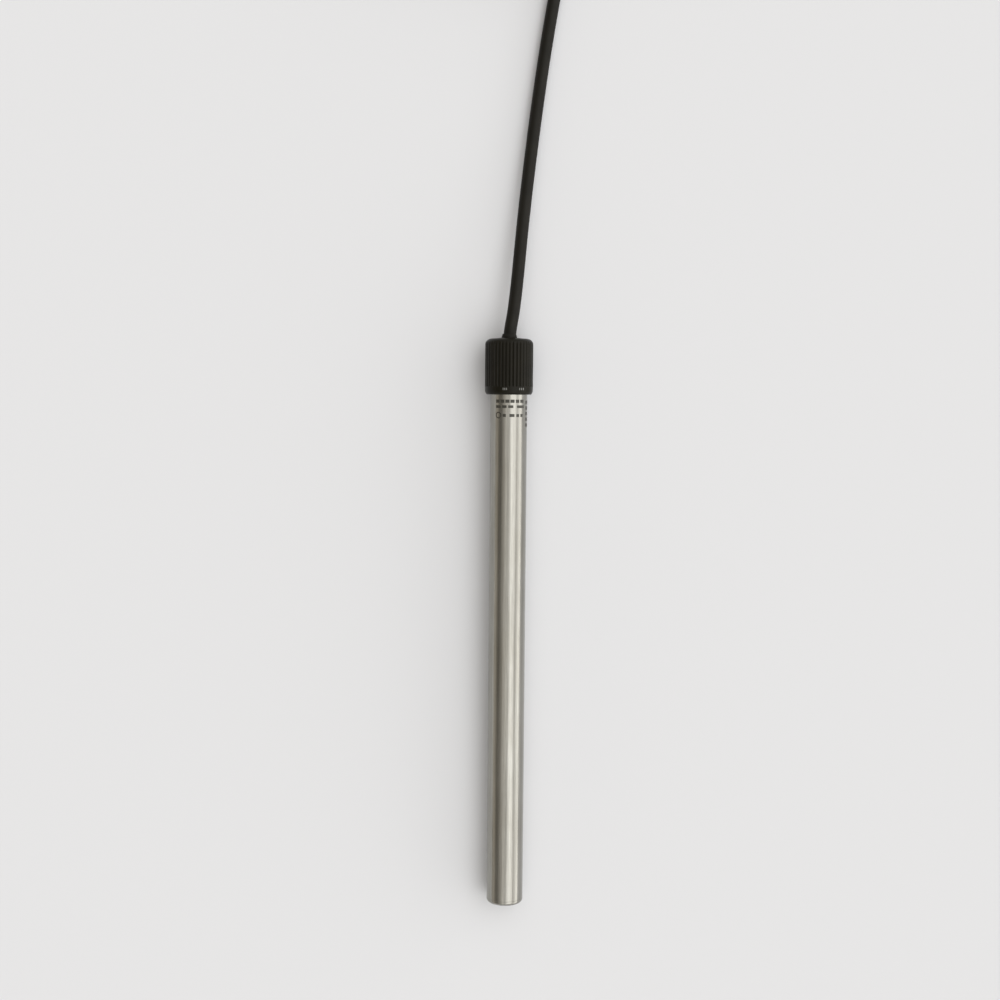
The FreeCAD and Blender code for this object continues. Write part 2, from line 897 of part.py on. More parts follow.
def make_collar():
    collar = turned_body(
        "threaded_collar",
        [
            ("collar_bead", "collar_foot"),
            ("collar_flange", "collar_foot"),
            ("collar_flange", "seal_start"),
            ("seal_floor", "seal_start"),
            ("seal_floor", "seal_start + seal_width"),
            ("collar_flange", "seal_start + seal_width"),
            ("collar_flange", "flange_top"),
            ("collar_core", "flange_top"),
            ("collar_core", "collar_top"),
            ("lip_bore", "collar_top"),
            ("lip_bore", "lip_start"),
            ("collar_bore", "lip_start"),
            ("collar_bore", "bead_top"),
            ("collar_bead", "bead_top"),
        ],
    )
    ridge(collar, "collar_core", "collar_crest", "thread_start")
    keep(collar, "threaded_collar", HEATER)
    padded(
        "tube_end_gasket",
        "gasket_start",
        "gasket_thickness",
        [("0", "0", "tube_radius"), ("0", "0", "tube_radius - tube_wall")],
    )
    ring = doc.addObject("Part::Torus", "cap_o_ring")
    ring.setExpression("Radius1", bound("seal_floor + seal_section + fit_gap"))
    ring.setExpression("Radius2", bound("seal_section"))
    doc.recompute()
    keep(ring, "cap_o_ring", in_heater(0, 0, size("seal_start") + size("seal_width") / 2))


def make_gland():
    padded(
        "gland_washer",
        "washer_start",
        "washer_thickness",
        [("0", "0", "washer_radius"), ("0", "0", "lip_bore")],
    )
    turned(
        "cord_grommet",
        [
            ("cord_radius + fit_gap", "grommet_start"),
            ("grommet_flange", "grommet_start"),
            ("grommet_flange", "grommet_flange_top"),
            ("grommet_cone_foot", "grommet_flange_top"),
            ("grommet_neck + 4 * fit_gap", "grommet_cone_top"),
            ("grommet_neck", "cap_top + fit_gap"),
            ("grommet_lip", "grommet_top"),
            ("grommet_mouth", "grommet_top"),
            ("cord_radius + fit_gap", "cord_exit"),
        ],
    )
    padded(
        "slip_ring",
        "ring_start",
        "ring_thickness",
        [("0", "0", "ring_radius"), ("0", "0", "ring_bore")],
    )


def draw_rib_groove(sketch):
    """One groove between two ribs: a round hollow whose edges roll over onto the cap."""
    wall = size("cap_radius")
    hollow = size("rib_hollow")
    edge = size("rib_edge")
    hollow_x = wall - size("rib_depth") + hollow
    edge_x = wall - edge
    edge_y = math.sqrt((hollow + edge) ** 2 - (edge_x - hollow_x) ** 2)
    share = hollow / (hollow + edge)
    tangent = V(hollow_x + share * (edge_x - hollow_x), share * edge_y, 0)
    crest = V(wall, edge_y, 0)
    bow_angle = 0.5 * math.atan2(tangent.y - edge_y, tangent.x - edge_x)
    bow = V(edge_x + edge * math.cos(bow_angle), edge_y + edge * math.sin(bow_angle), 0)
    outer = V(wall + 1, edge_y, 0)

    def mirrored(point):
        return V(point.x, -point.y, 0)

    floor = V(hollow_x - hollow, 0, 0)
    loop = [
        Part.Arc(tangent, floor, mirrored(tangent)),
        Part.Arc(mirrored(tangent), mirrored(bow), mirrored(crest)),
        Part.LineSegment(mirrored(crest), mirrored(outer)),
        Part.LineSegment(mirrored(outer), outer),
        Part.LineSegment(outer, crest),
        Part.Arc(crest, bow, tangent),
    ]
    for piece in loop:
        sketch.addGeometry(piece, False)


def make_cap():
    cap = turned_body(
        "screw_cap",
        [
            ("skirt_bore", "cap_foot"),
            ("cap_rim_radius", "cap_foot"),
            ("cap_radius", "cap_foot + cap_rim"),
            ("cap_radius", "cap_edge"),
            ("cap_mouth", "cap_top"),
            ("cap_cone_neck", "cap_cone_top"),
            ("cap_cone_foot", "ring_seat_top"),
            ("ring_seat_radius", "ring_seat_top"),
            ("ring_seat_radius", "ring_seat_start"),
            ("neck_bore", "ring_seat_start"),
            ("neck_bore", "thread_bore_top"),
            ("thread_bore", "thread_bore_top"),
            ("thread_bore", "skirt_top"),
            ("skirt_bore", "skirt_top"),
        ],
    )
    rounded(cap, "cap_shoulder", size("cap_radius"), size("cap_edge"))
    ridge(cap, "thread_bore", "cap_crest", "thread_start + thread_pitch / 2")
    sketch = new_sketch(cap, "XY_Plane", "rib_foot")
    draw_rib_groove(sketch)
    groove = cap.newObject("PartDesign::Pocket", "rib_groove")
    groove.Profile = (sketch, [""])
    groove.Reversed = True
    groove.setExpression("Length", bound("cap_top - rib_foot + 1"))
    doc.recompute()
    ribs = cap.newObject("PartDesign::PolarPattern", "ribs")
    ribs.Originals = [groove]
    axis = [item for item in cap.Origin.OriginFeatures if item.Role == "Z_Axis"]
    ribs.Axis = (axis[0], [""])
    ribs.Angle = 360
    ribs.setExpression("Occurrences", bound("rib_count"))
    cap.Tip = ribs
    keep(cap, "screw_cap", HEATER)


# ---------------------------------------------------------------- cord, coil and plug


def beyond_cap(distance, side, height):
    """A point of the cord: its distance past the cap's top, its place to the side and its height."""
    return V(CAP_TOP.x + distance, side, height)


def make_cord():
    exit_point = HEATER.multVec(V(0, 0, size("cord_exit")))
    floor = size("cord_radius") + 0.05
    raised = floor + size("coil_base")
    entry_side = COIL_CENTRE.y - size("coil_radius") - size("cord_radius")
    run = [
        exit_point,
        beyond_cap(3, 0, 20.11),
        beyond_cap(20, -3.2, 20.2),
        beyond_cap(46, -6.1, 18.6),
        beyond_cap(88, -9.7, 13.9),
        beyond_cap(134, -14.5, 8.6),
        beyond_cap(188, -21.0, 5.7),
        beyond_cap(244, -28.8, floor),
        beyond_cap(297, -38.0, floor + 0.1),
        beyond_cap(341, -44.8, raised - 0.3),
        beyond_cap(370, entry_side, raised),
    ]
    routed("mains_cord", run, size("cord_radius"))


def make_coil():
    """The put-away cord as one ring: two turns wide and two turns high."""
    ring = turned_body(
        "cord_coil",
        [
            ("coil_radius - 2 * cord_radius", "0"),
            ("coil_radius + 2 * cord_radius", "0"),
            ("coil_radius + 2 * cord_radius", "4 * cord_radius"),
            ("coil_radius - 2 * cord_radius", "4 * cord_radius"),
        ],
    )
    for wall in (size("coil_radius") - LAYER, size("coil_radius") + LAYER):
        for level in (0, 2 * LAYER):
            rounded(ring, "cord_radius * 0.98", wall, level)
    keep(ring, "cord_coil", FreeCAD.Placement(COIL_CENTRE, FreeCAD.Rotation()))


def make_tail():
    """The end of the cord: round the coil's top, off it and down beside it, into the plug's boot."""
    step = 27
    reach = size("tail_radius") / math.cos(math.radians(step / 2))
    on_top = size("coil_base") + 2.5 * LAYER + 0.3
    points = []
    for angle in range(-157, -100, step):
        turn = math.radians(angle)
        level_point = V(math.sin(turn), -math.cos(turn), 0) * reach
        points.append(V(COIL_CENTRE.x, COIL_CENTRE.y, on_top) + level_point)
    points += [
        beyond_cap(324.3, -2.1, 27.6),
        beyond_cap(334.5, -24.3, 28.0),
        beyond_cap(350.7, -42.6, 28.4),
        beyond_cap(371.7, -54.1, 26.4),
        beyond_cap(396.9, -56.8, 21.4),
        beyond_cap(420.8, -49.2, 14.4),
        beyond_cap(439.3, -33.6, 8.0),
        PLUG.multVec(V(0, 0, -12)),
        PLUG.multVec(V(0, 0, size("boot_bore_depth") - 1)),
    ]
    routed("cord_tail", points, size("cord_radius"))


def make_tie():
    """A strap around the coil's bundle of turns, drawn across the bundle."""
    half = "2 * cord_radius + tie_gap"
    body = doc.addObject("PartDesign::Body", "cord_tie")
    sketch = new_sketch(body, "XZ_Plane")
    for grow in ("", " + tie_thickness"):
        side = half + grow
        cut = f"({side} - tie_corner)"
        draw_outline(
            sketch,
            [
                (f"-{cut}", f"-({side})"),
                (cut, f"-({side})"),
                (side, f"-{cut}"),
                (side, cut),
                (cut, side),
                (f"-{cut}", side),
                (f"-({side})", cut),
                (f"-({side})", f"-{cut}"),
            ],
        )
    pad = body.newObject("PartDesign::Pad", "cord_tie_pad")
    pad.Profile = (sketch, [""])
    pad.Midplane = True
    pad.setExpression("Length", bound("tie_width"))
    place = COIL_CENTRE + V(size("coil_radius"), 0, LAYER)
    keep(body, "cord_tie", FreeCAD.Placement(place, FreeCAD.Rotation()))


def make_boot():
    """A tapered boot with bend-relief rings, open at its mouth for the cord."""
    rings = int(size("boot_rings"))
    outline = [("cord_radius + fit_gap", "0"), ("boot_mouth", "0")]
    for number in range(rings):
        for share in (0.35, 0.65):
            part = (number + share) / (rings + 0.5)
            station = f"boot_length * {part:.4f}"
            skin = f"boot_mouth + (boot_end - boot_mouth) * {part:.4f}"
            steps = [skin, skin + " - boot_ring_depth"]
            if share > 0.5:
                steps.reverse()
            outline += [(step, station) for step in steps]
    outline += [
        ("boot_end", "boot_length"),
        ("0", "boot_length"),
        ("0", "boot_bore_depth"),
        ("cord_radius + fit_gap", "boot_bore_depth"),
    ]
    turned("plug_boot", outline, PLUG)


def make_plug_body():
    body = turned_body(
        "plug_body",
        [
            ("0", "boot_length + fit_gap"),
            ("plug_neck", "boot_length + fit_gap"),
            ("plug_shoulder", "plug_shoulder_end"),
            ("plug_grip", "plug_grip_end"),
            ("plug_head", "plug_head_start"),
            ("plug_head", "plug_face - plug_edge"),
            ("plug_head - plug_edge", "plug_face"),
            ("carrier_radius + fit_gap", "plug_face"),
            ("carrier_radius + fit_gap", "plug_face - carrier_thickness - fit_gap"),
            ("0", "plug_face - carrier_thickness - fit_gap"),
        ],
    )
    sketch = new_sketch(body, "XY_Plane", "plug_pin_root - fit_gap")
    for side in ("plug_pin_spacing / 2", "-plug_pin_spacing / 2"):
        draw_circle(sketch, "0", side, "plug_pin_shank + fit_gap")
    holes = body.newObject("PartDesign::Pocket", "plug_pin_holes")
    holes.Profile = (sketch, [""])
    holes.Reversed = True
    holes.setExpression("Length", bound("plug_face - plug_pin_root"))
    sketch = new_sketch(body, "XY_Plane", "plug_grip_end")
    for side in ("", "-"):
        draw_outline(
            sketch,
            [
                (side + "plug_flat", "-plug_head"),
                (side + "2 * plug_head", "-plug_head"),
                (side + "2 * plug_head", "plug_head"),
                (side + "plug_flat", "plug_head"),
            ],
        )
    flats = body.newObject("PartDesign::Pocket", "plug_flats")
    flats.Profile = (sketch, [""])
    flats.Reversed = True
    flats.setExpression("Length", bound("plug_face"))
    body.Tip = flats
    keep(body, "plug_body", PLUG)


def make_plug_metal():
    half = "plug_pin_spacing / 2"
    padded(
        "plug_pin_carrier",
        "plug_face - carrier_thickness",
        "carrier_thickness",
        [
            ("0", "0", "carrier_radius"),
            ("0", half, "plug_pin_shank + fit_gap"),
            ("0", "-" + half, "plug_pin_shank + fit_gap"),
        ],
        PLUG,
    )
    end = "plug_face + plug_pin_length"
    outline = [
        ("0", "plug_pin_root"),
        ("plug_pin_shank", "plug_pin_root"),
        ("plug_pin_shank", "plug_face + fit_gap"),
        ("plug_pin_radius", "plug_face + fit_gap"),
        ("plug_pin_radius", f"{end} - plug_pin_point"),
        ("plug_pin_radius / 2", end),
        ("0", end),
    ]
    for label, side in (("plug_live_pin", 1), ("plug_neutral_pin", -1)):
        across = FreeCAD.Placement(V(0, side * size("plug_pin_spacing") / 2, 0), FreeCAD.Rotation())
        turned(label, outline, PLUG.multiply(across))
    strips = [
        block(
            f"earth_strip_{number}",
            (across, "-strip_width / 2", "plug_face - strip_length"),
            ("strip_thickness", "strip_width", "strip_length - plug_edge"),
        )
        for number, across in enumerate(("plug_flat + fit_gap", "-plug_flat - strip_thickness - fit_gap"))
    ]
    joined("plug_earth_strips", strips, PLUG)


make_tube()
make_cores()
make_winding()
make_conductors()
make_insulation()
make_cutout_case()
make_plunger()
make_terminals()
make_contacts()
make_wiring()
make_earth_tag()
make_cord_entry()
make_collar()
make_gland()
make_cap()
make_cord()
make_coil()
make_tail()
make_tie()
make_boot()
make_plug_body()
make_plug_metal()
doc.recompute()

for item in doc.Objects:
    if "Invalid" in item.State or "Error" in item.State:
        raise RuntimeError(f"{item.Name} failed: {item.State}")
for node in nodes:
    if node.Shape.isNull() or not node.Shape.isValid() or not node.Shape.Solids:
        raise RuntimeError(f"{node.Label} has no valid solid")
os.makedirs("parts", exist_ok=True)
for node in nodes:
    node.Shape.exportStep(f"parts/{node.Label}.step")
print(f"{len(nodes)} nodes; tilt {math.degrees(TILT):.3f} degrees; cap top at {CAP_TOP}")
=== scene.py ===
import json
import math

import bmesh
import bpy
from mathutils import Matrix, Vector


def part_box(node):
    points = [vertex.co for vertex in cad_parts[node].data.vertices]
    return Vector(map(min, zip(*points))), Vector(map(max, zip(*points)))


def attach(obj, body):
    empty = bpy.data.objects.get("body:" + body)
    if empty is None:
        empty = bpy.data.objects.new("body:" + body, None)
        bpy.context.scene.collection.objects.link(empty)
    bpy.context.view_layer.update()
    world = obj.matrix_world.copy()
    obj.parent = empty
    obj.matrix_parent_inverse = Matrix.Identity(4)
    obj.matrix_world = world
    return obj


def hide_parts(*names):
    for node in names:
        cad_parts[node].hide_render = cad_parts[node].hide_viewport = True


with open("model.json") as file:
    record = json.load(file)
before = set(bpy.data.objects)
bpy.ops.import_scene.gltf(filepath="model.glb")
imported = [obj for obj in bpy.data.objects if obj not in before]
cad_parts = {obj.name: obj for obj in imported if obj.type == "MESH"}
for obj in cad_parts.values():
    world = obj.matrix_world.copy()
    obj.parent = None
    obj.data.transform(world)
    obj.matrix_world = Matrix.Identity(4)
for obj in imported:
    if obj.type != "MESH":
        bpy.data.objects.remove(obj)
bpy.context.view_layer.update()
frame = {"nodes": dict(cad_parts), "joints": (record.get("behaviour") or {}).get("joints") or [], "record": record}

# ---------------------------------------------------------------- places from the frame, in metres

MOUNTS = {mount["name"]: mount for mount in frame["record"]["mounts"]}
JOINTS = {joint["name"]: joint for joint in frame["joints"]}
ALONG = -Vector(MOUNTS["tube_outside"]["axis"]).normalized()
CAP_TOP = Vector(JOINTS["cap_turn"]["pos_m"])
CAP_TOP_STATION = 0.469
PLUG_ALONG = Vector(MOUNTS["plug_pins"]["axis"]).normalized()
PLUG_PINS_STATION = 0.0695
PLUG_MOUTH = Vector(MOUNTS["plug_pins"]["pos_m"]) - PLUG_ALONG * PLUG_PINS_STATION
TIE_LOW, TIE_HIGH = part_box("cord_tie")
COIL_LOW, COIL_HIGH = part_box("cord_coil")
COIL_CENTRE = (COIL_LOW + COIL_HIGH) / 2

CORD_RADIUS = 0.0051
CORD_DIAMETER = 2 * CORD_RADIUS


def frame_of(origin, along):
    """A local frame: Z along the piece, X as near upwards as it can be, Y across.

    On the heater, Y is towards the picture's right.
    """
    up = (Vector((0, 0, 1)) - along * along.z).normalized()
    side = along.cross(up)
    rotation = Matrix((up, side, along)).transposed().to_4x4()
    return Matrix.Translation(origin) @ rotation


HEATER = frame_of(CAP_TOP - ALONG * CAP_TOP_STATION, ALONG)
PLUG = frame_of(PLUG_MOUTH, PLUG_ALONG)


# ---------------------------------------------------------------- camera


def make_camera():
    """Almost straight down on the heater, its cap at the top of the picture."""
    middle = Vector((0.0995, 0.0065, 0.0))
    distance = 1.2384
    lean, roll = math.radians(3.67), math.radians(0.48)
    data = bpy.data.cameras.new("camera")
    data.lens = 53.5
    data.sensor_width = 36.0
    camera = bpy.data.objects.new("camera", data)
    right, up, back = Vector((0, -1, 0)), Vector((1, 0, 0)), Vector((0, 0, 1))
    level = Matrix((right, up, back)).transposed().to_4x4()
    turned = Matrix.Rotation(lean, 4, "Y") @ level @ Matrix.Rotation(roll, 4, "Z")
    place = middle + turned.to_3x3() @ Vector((0, 0, distance))
    camera.matrix_world = Matrix.Translation(place) @ turned
    bpy.context.scene.collection.objects.link(camera)
    bpy.context.scene.camera = camera


make_camera()


# ---------------------------------------------------------------- cord


def beyond_cap(distance, side, height):
    """A point of the cord, in millimetres: how far past the cap's top, its side and its height."""
    return Vector((CAP_TOP.x + distance / 1000, side / 1000, height / 1000))


def run_points():
    """From inside the cap, down to the surface and along it to the coil."""
    return [
        CAP_TOP - ALONG * 0.008,
        beyond_cap(3, 0, 20.11),
        beyond_cap(20, -3.2, 20.2),
        beyond_cap(46, -6.1, 18.6),
        beyond_cap(88, -9.7, 13.9),
        beyond_cap(134, -14.5, 8.6),
        beyond_cap(188, -21.0, 5.7),
        beyond_cap(244, -28.8, 5.15),
        beyond_cap(297, -38.0, 5.25),
        beyond_cap(341, -44.8, 6.55),
        beyond_cap(370, -47.1, 6.85),
    ]


def eased(value, start, end):
    """0 before the start, 1 after the end and smooth between them."""
    share = min(1.0, max(0.0, (value - start) / (end - start)))
    return share * share * (3 - 2 * share)


def coil_points():
    """Nearly four turns, two beside each other and two high, the last bit in the groove on top.

    The winding steps inwards after its first turn, up after its second and outwards after its third.
    """
    middle_radius = 0.054
    nested_layer = 0.866
    low = COIL_LOW.z + CORD_RADIUS
    first, last, count = 14.0, 1337.0, 55
    step = (last - first) / count
    reach = 1 / math.cos(math.radians(step / 2))
    points = []
    for number in range(count + 1):
        angle = first + step * number
        inwards = eased(angle, 290, 350) - eased(angle, 920, 980)
        radius = middle_radius + CORD_RADIUS * (1 - 2 * inwards - eased(angle, 1230, 1290))
        layer = eased(angle, 620, 680) + nested_layer * eased(angle, 1195, 1255)
        turn = math.radians(angle)
        outwards = Vector((math.sin(turn), -math.cos(turn), 0))
        centre = Vector((COIL_CENTRE.x, COIL_CENTRE.y, low + CORD_DIAMETER * layer))
        points.append(centre + outwards * radius * reach)
    return points


def tail_points():
    """Off the coil's top, down beside it and into the plug's boot."""
    return [
        beyond_cap(324.3, -2.1, 27.6),
        beyond_cap(334.5, -24.3, 28.0),
        beyond_cap(350.7, -42.6, 28.4),
        beyond_cap(371.7, -54.1, 26.4),
        beyond_cap(396.9, -56.8, 21.4),
        beyond_cap(420.8, -49.2, 14.4),
        beyond_cap(439.3, -33.6, 8.0),
        PLUG_MOUTH - PLUG_ALONG * 0.012,
        PLUG_MOUTH + PLUG_ALONG * 0.013,
    ]


def make_lead():
    """The whole mains lead as one smooth spline.

    Its thickness is in its points and not in its bevel, so that its box has its own size.
    """
    curve = bpy.data.curves.new("mains_lead", "CURVE")
    curve.dimensions = "3D"
    curve.bevel_depth = 1.0
    curve.bevel_resolution = 6
    curve.use_fill_caps = True
    spline = curve.splines.new("NURBS")
    route = run_points() + coil_points() + tail_points()
    spline.points.add(len(route) - 1)
    for point, place in zip(spline.points, route):
        point.co = (*place, 1.0)
        point.radius = CORD_RADIUS
    spline.order_u = 3
    spline.use_endpoint_u = True
    spline.resolution_u = 8
    lead = bpy.data.objects.new("mains_lead", curve)
    bpy.context.scene.collection.objects.link(lead)
    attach(lead, "heater")
    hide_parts("mains_cord", "cord_coil", "cord_tail")
    return lead


lead = make_lead()


# ---------------------------------------------------------------- shader helpers


class Nodes:
    """Shorthands for building a node tree."""

    def __init__(self, tree):
        self.tree = tree

    def node(self, kind, **values):
        node = self.tree.nodes.new(kind)
        for name, value in values.items():
            setattr(node, name, value)
        return node

    def link(self, source, target):
        self.tree.links.new(source, target)

    def math_node(self, operation, *operands):
        """A Math node; each operand is a socket or a number."""
        node = self.node("ShaderNodeMath", operation=operation)
        for socket, operand in zip(node.inputs, operands):
            if isinstance(operand, (int, float)):
                socket.default_value = operand
            else:
                self.link(operand, socket)
        return node.outputs["Value"]

    def between(self, value, low, high, out_low, out_high, smooth=False):
        """Maps a value from one range to another and keeps it there."""
        mapped = self.node("ShaderNodeMapRange")
        if smooth:
            mapped.interpolation_type = "SMOOTHSTEP"
        mapped.inputs["From Min"].default_value = low
        mapped.inputs["From Max"].default_value = high
        mapped.inputs["To Min"].default_value = out_low
        mapped.inputs["To Max"].default_value = out_high
        self.link(value, mapped.inputs["Value"])
        return mapped.outputs["Result"]

    def colours(self, value, stops):
        """A colour ramp: each stop is (place, (r, g, b))."""
        ramp = self.node("ShaderNodeValToRGB")
        while len(ramp.color_ramp.elements) < len(stops):
            ramp.color_ramp.elements.new(0.5)
        for element, (place, colour) in zip(ramp.color_ramp.elements, stops):
            element.position = place
            element.color = (*colour, 1.0)
        self.link(value, ramp.inputs["Fac"])
        return ramp.outputs["Color"]

    def multiplied(self, first, second):
        """One colour multiplied by another."""
        mix = self.node("ShaderNodeMix", data_type="RGBA", blend_type="MULTIPLY")
        mix.inputs["Factor"].default_value = 1.0
        self.link(first, mix.inputs["A"])
        self.link(second, mix.inputs["B"])
        return mix.outputs["Result"]


class Shader(Nodes):
    """A material with one Principled shader and shorthands for its patterns."""

    def __init__(self, name, colour, roughness, metallic=0.0, **constants):
        self.material = bpy.data.materials.new(name)
        self.material.use_nodes = True
        super().__init__(self.material.node_tree)
        self.principled = self.tree.nodes["Principled BSDF"]
        self.set("Base Color", (*colour, 1.0))
        self.set("Roughness", roughness)
        self.set("Metallic", metallic)
        for socket, value in constants.items():
            self.set(socket.replace("_", " "), value)

    def set(self, socket, value):
        self.principled.inputs[socket].default_value = value

    def feed(self, source, socket):
        self.link(source, self.principled.inputs[socket])

    def coordinates(self, stretch=(1, 1, 1)):
        """Object coordinates in metres, stretched for a pattern that runs one way."""
        texture = self.node("ShaderNodeTexCoord")
        mapping = self.node("ShaderNodeMapping")
        mapping.inputs["Scale"].default_value = stretch
        self.link(texture.outputs["Object"], mapping.inputs["Vector"])
        return mapping.outputs["Vector"]

    def noise(self, vector, scale, detail=2.0, roughness=0.5):
        noise = self.node("ShaderNodeTexNoise")
        noise.inputs["Scale"].default_value = scale
        noise.inputs["Detail"].default_value = detail
        noise.inputs["Roughness"].default_value = roughness
        self.link(vector, noise.inputs["Vector"])
        return noise.outputs["Fac"]

    def bump(self, height, strength, distance):
        """Relief, on top of any relief that is there already."""
        bump = self.node("ShaderNodeBump")
        bump.inputs["Strength"].default_value = strength
        bump.inputs["Distance"].default_value = distance
        self.link(height, bump.inputs["Height"])
        previous = self.principled.inputs["Normal"].links
        if previous:
            self.link(previous[0].from_socket, bump.inputs["Normal"])
        self.feed(bump.outputs["Normal"], "Normal")


def brushed_metal(name, colour, roughness, spread):
    """Metal drawn and brushed along local Z: streaks and hairlines in its colour, gloss and relief."""
    shader = Shader(name, colour, roughness, metallic=1.0, Anisotropic=0.35)
    tangent = shader.node("ShaderNodeTangent", direction_type="RADIAL", axis="Z")
    shader.feed(tangent.outputs["Tangent"], "Tangent")
    streaks = shader.noise(shader.coordinates((1, 1, 0.012)), 1500, 3.0, 0.6)
    bands = shader.noise(shader.coordinates((1, 1, 0.015)), 420, 4.0, 0.65)
    hairs = shader.noise(shader.coordinates((1, 1, 0.01)), 5200, 2.0, 0.6)
    smears = shader.noise(shader.coordinates((1, 1, 0.35)), 60, 4.0, 0.6)
    dark = tuple(value * (1 - spread) for value in colour)
    light = tuple(min(1.0, value * (1 + spread)) for value in colour)
    banded = shader.colours(bands, [(0.3, dark), (0.7, light)])
    smeared = shader.colours(smears, [(0.35, (0.9, 0.89, 0.87)), (0.65, (1, 1, 1))])
    lined = shader.colours(hairs, [(0.35, (0.86, 0.86, 0.85)), (0.62, (1.05, 1.05, 1.05))])
    shader.feed(shader.multiplied(shader.multiplied(banded, smeared), lined), "Base Color")
    shader.feed(shader.between(streaks, 0.25, 0.75, roughness - 0.06, roughness + 0.08), "Roughness")
    shader.bump(streaks, 0.12, 0.00004)
    shader.bump(hairs, 0.10, 0.00001)
    return shader.material


def moulded(name, colour, roughness, grain=9000, relief=0.00002, specular=0.5):
    """Moulded plastic or rubber: an even colour with slight clouding and a fine surface grain."""
    shader = Shader(name, colour, roughness, Specular_IOR_Level=specular)
    clouds = shader.noise(shader.coordinates(), 90, 3.0)
    dark = tuple(value * 0.82 for value in colour)
    light = tuple(value * 1.2 for value in colour)
    shader.feed(shader.colours(clouds, [(0.3, dark), (0.7, light)]), "Base Color")
    shader.feed(shader.between(clouds, 0.3, 0.7, roughness + 0.05, roughness - 0.04), "Roughness")
    shader.bump(shader.noise(shader.coordinates(), grain, 1.0), 0.35, relief)
    return shader.material


def plain_metal(name, colour, roughness):
    """Small plated or pressed metal pieces with faint wear."""
    shader = Shader(name, colour, roughness, metallic=1.0)
    wear = shader.noise(shader.coordinates(), 700, 4.0, 0.6)
    shader.feed(shader.between(wear, 0.3, 0.7, roughness - 0.05, roughness + 0.1), "Roughness")
    shader.bump(wear, 0.1, 0.00002)
    return shader.material


MATERIALS = {
    "titanium": brushed_metal("titanium", (0.347, 0.340, 0.313), 0.17, 0.15),
    "cap_plastic": moulded("cap_plastic", (0.0072, 0.0062, 0.0032), 0.34, specular=0.13),
    "cord_rubber": moulded("cord_rubber", (0.0085, 0.0076, 0.0052), 0.5, grain=5000, specular=0.15),
    "seal_rubber": moulded("seal_rubber", (0.0080, 0.0071, 0.0046), 0.55, specular=0.15),
    "collar_plastic": moulded("collar_plastic", (0.022, 0.021, 0.02), 0.45),
    "washer_plastic": moulded("washer_plastic", (0.66, 0.65, 0.62), 0.4),
    "tie_strap": moulded("tie_strap", (0.02, 0.02, 0.02), 0.8, grain=3000, relief=0.00008),
    "boot_rubber": moulded("boot_rubber", (0.010, 0.0095, 0.0085), 0.5, specular=0.2),
    "plug_plastic": moulded("plug_plastic", (0.012, 0.0115, 0.0105), 0.42, specular=0.25),
    "carrier_plastic": moulded("carrier_plastic", (0.05, 0.05, 0.05), 0.3),
    "nickel_plate": plain_metal("nickel_plate", (0.70, 0.68, 0.63), 0.2),
    "ceramic": moulded("ceramic", (0.78, 0.75, 0.68), 0.7, grain=4000),
    "resistance_ribbon": plain_metal("resistance_ribbon", (0.30, 0.26, 0.23), 0.5),
    "nickel_conductor": plain_metal("nickel_conductor", (0.55, 0.52, 0.47), 0.35),
    "magnesia": moulded("magnesia", (0.80, 0.79, 0.76), 0.9, grain=6000),
    "cutout_cup": plain_metal("cutout_cup", (0.75, 0.75, 0.75), 0.35),
    "cutout_case": moulded("cutout_case", (0.05, 0.035, 0.028), 0.45),
    "bimetal": plain_metal("bimetal", (0.55, 0.52, 0.48), 0.4),
    "contact_brass": plain_metal("contact_brass", (0.72, 0.53, 0.24), 0.3),
    "contact_silver": plain_metal("contact_silver", (0.85, 0.84, 0.80), 0.25),
    "core_brown": moulded("core_brown", (0.14, 0.055, 0.02), 0.5),
    "core_blue": moulded("core_blue", (0.02, 0.07, 0.30), 0.5),
    "core_green_yellow": moulded("core_green_yellow", (0.32, 0.42, 0.03), 0.5),
    "tinned_metal": plain_metal("tinned_metal", (0.62, 0.62, 0.61), 0.35),
    "ferrule_metal": plain_metal("ferrule_metal", (0.60, 0.60, 0.60), 0.35),
    "potting": moulded("potting", (0.55, 0.53, 0.49), 0.6),
}
SLOTS = {part["node"]: part["material_slot"] for part in frame["record"]["subparts"]}


def dress_frame():
    """Every CAD node gets its own procedural material."""
    for name, node in frame["nodes"].items():
        node.data.materials.clear()
        node.data.materials.append(MATERIALS[SLOTS[name]])


dress_frame()
lead.data.materials.append(MATERIALS["cord_rubber"])


# ---------------------------------------------------------------- ways of making a mesh


def piece(name, mesh, body, slot, place=Matrix()):
    """A visible piece in its place, riding its body, with its slot's material."""
    made = bpy.data.objects.new(name, mesh)
    made.matrix_world = place
    bpy.context.scene.collection.objects.link(made)
    made.data.materials.append(MATERIALS[slot])
    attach(made, body)
    return made


def lathe(name, outline, segments=192, shaped=None, sharp=35):
    """A closed solid turned about Z from an outline of (radius, station), in millimetres.

    A radius of 0 ends on the axis. shaped(radius, station, turn) may give each point another radius.
    """
    form = bmesh.new()
    rings = []
    for radius, station in outline:
        ring = []
        for number in range(segments if radius else 1):
            turn = 2 * math.pi * number / segments
            reach = shaped(radius, station, turn) if shaped else radius
            ring.append(form.verts.new((reach * math.cos(turn), reach * math.sin(turn), station)))
        rings.append(ring)
    for lower, upper in zip(rings, rings[1:] + rings[:1]):
        if len(lower) == 1 and len(upper) == 1:
            continue
        for number in range(segments):
            after = (number + 1) % segments
            corners = [lower[number % len(lower)], lower[after % len(lower)]]
            corners += [upper[after % len(upper)], upper[number % len(upper)]]
            form.faces.new(dict.fromkeys(corners))
    return finished(name, form, sharp)


